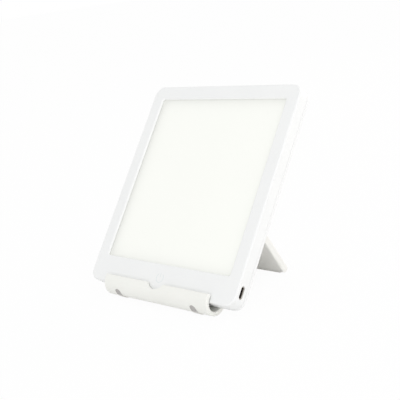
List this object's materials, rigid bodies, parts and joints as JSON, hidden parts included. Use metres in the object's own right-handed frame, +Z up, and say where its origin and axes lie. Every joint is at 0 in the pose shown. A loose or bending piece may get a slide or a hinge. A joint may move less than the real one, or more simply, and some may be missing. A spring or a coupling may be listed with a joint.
{
  "type": "light therapy lamp",
  "caption": "Slim edge-lit light therapy panel with a touch key and a low-voltage inlet, leaning in a folding cradle with a prop leg behind.",
  "frame": {"origin": "on the floor, under the middle of the whole object front to back and left to right", "axes": "+Z up, the light panel faces -Y and leans back towards +Y, +X to the right of the lamp seen from the front"},
  "size_m": [0.152, 0.118, 0.1464],
  "materials": {
    "case_white": "satin moulded, faintly cool white",
    "stand_white": "fine satin, warm white",
    "opal_diffuser": "opal acrylic, matt face",
    "film": "thin matt film",
    "tape_white": "foam tape",
    "clear_guide": "clear acrylic, polished edges",
    "reflector": "bright white sheet",
    "pan_aluminium": "rolled sheet",
    "strip_white": "white solder mask",
    "chip_phosphor": "phosphor in resin",
    "board_green": "green solder mask",
    "component_black": "moulded resin",
    "inlet_metal": "tinned sheet",
    "screw_steel": "plated",
    "washer_steel": "plated",
    "spring_steel": "bright wire",
    "copper": "copper foil",
    "lead_red": "wire insulation",
    "rubber_grey": "soft matt grey"
  },
  "bodies": {
    "stand": {"cradle": "stand_white", "rest_pads": "rubber_grey", "cradle_foot_left": "rubber_grey", "cradle_foot_right": "rubber_grey", "hinge_pin": "screw_steel", "pin_cap_left": "stand_white", "pin_cap_right": "stand_white", "hinge_washers": "washer_steel"},
    "lamp": {"front_bezel": "case_white", "back_cover": "case_white", "case_screws": "screw_steel", "diffuser_tape": "tape_white", "diffuser_plate": "opal_diffuser", "diffusion_film": "film", "light_guide": "clear_guide", "reflector_sheet": "reflector", "back_pan": "pan_aluminium", "panel_frame": "case_white", "light_strip_left": "strip_white", "light_strip_right": "strip_white", "light_chips_left": "chip_phosphor", "light_chips_right": "chip_phosphor", "control_board": "board_green", "board_components": "component_black", "board_screws": "screw_steel", "inlet_shell": "inlet_metal", "inlet_tongue": "component_black", "touch_foil": "copper", "touch_spring": "spring_steel", "strip_leads": "lead_red"},
    "leg": {"prop_leg": "stand_white", "leg_foot_left": "rubber_grey", "leg_foot_right": "rubber_grey"}
  },
  "joints": [
    {"name": "leg_fold", "type": "hinge", "parent": "stand", "child": "leg", "pos_m": [0, 0.00702, 0.0592], "axis": [1, 0, 0], "range_deg": [-69, 0]},
    {"name": "lamp_lift", "type": "slide", "parent": "stand", "child": "lamp", "axis": [0, 0.6157, 0.788], "range_m": [0, 0.08]}
  ]
}
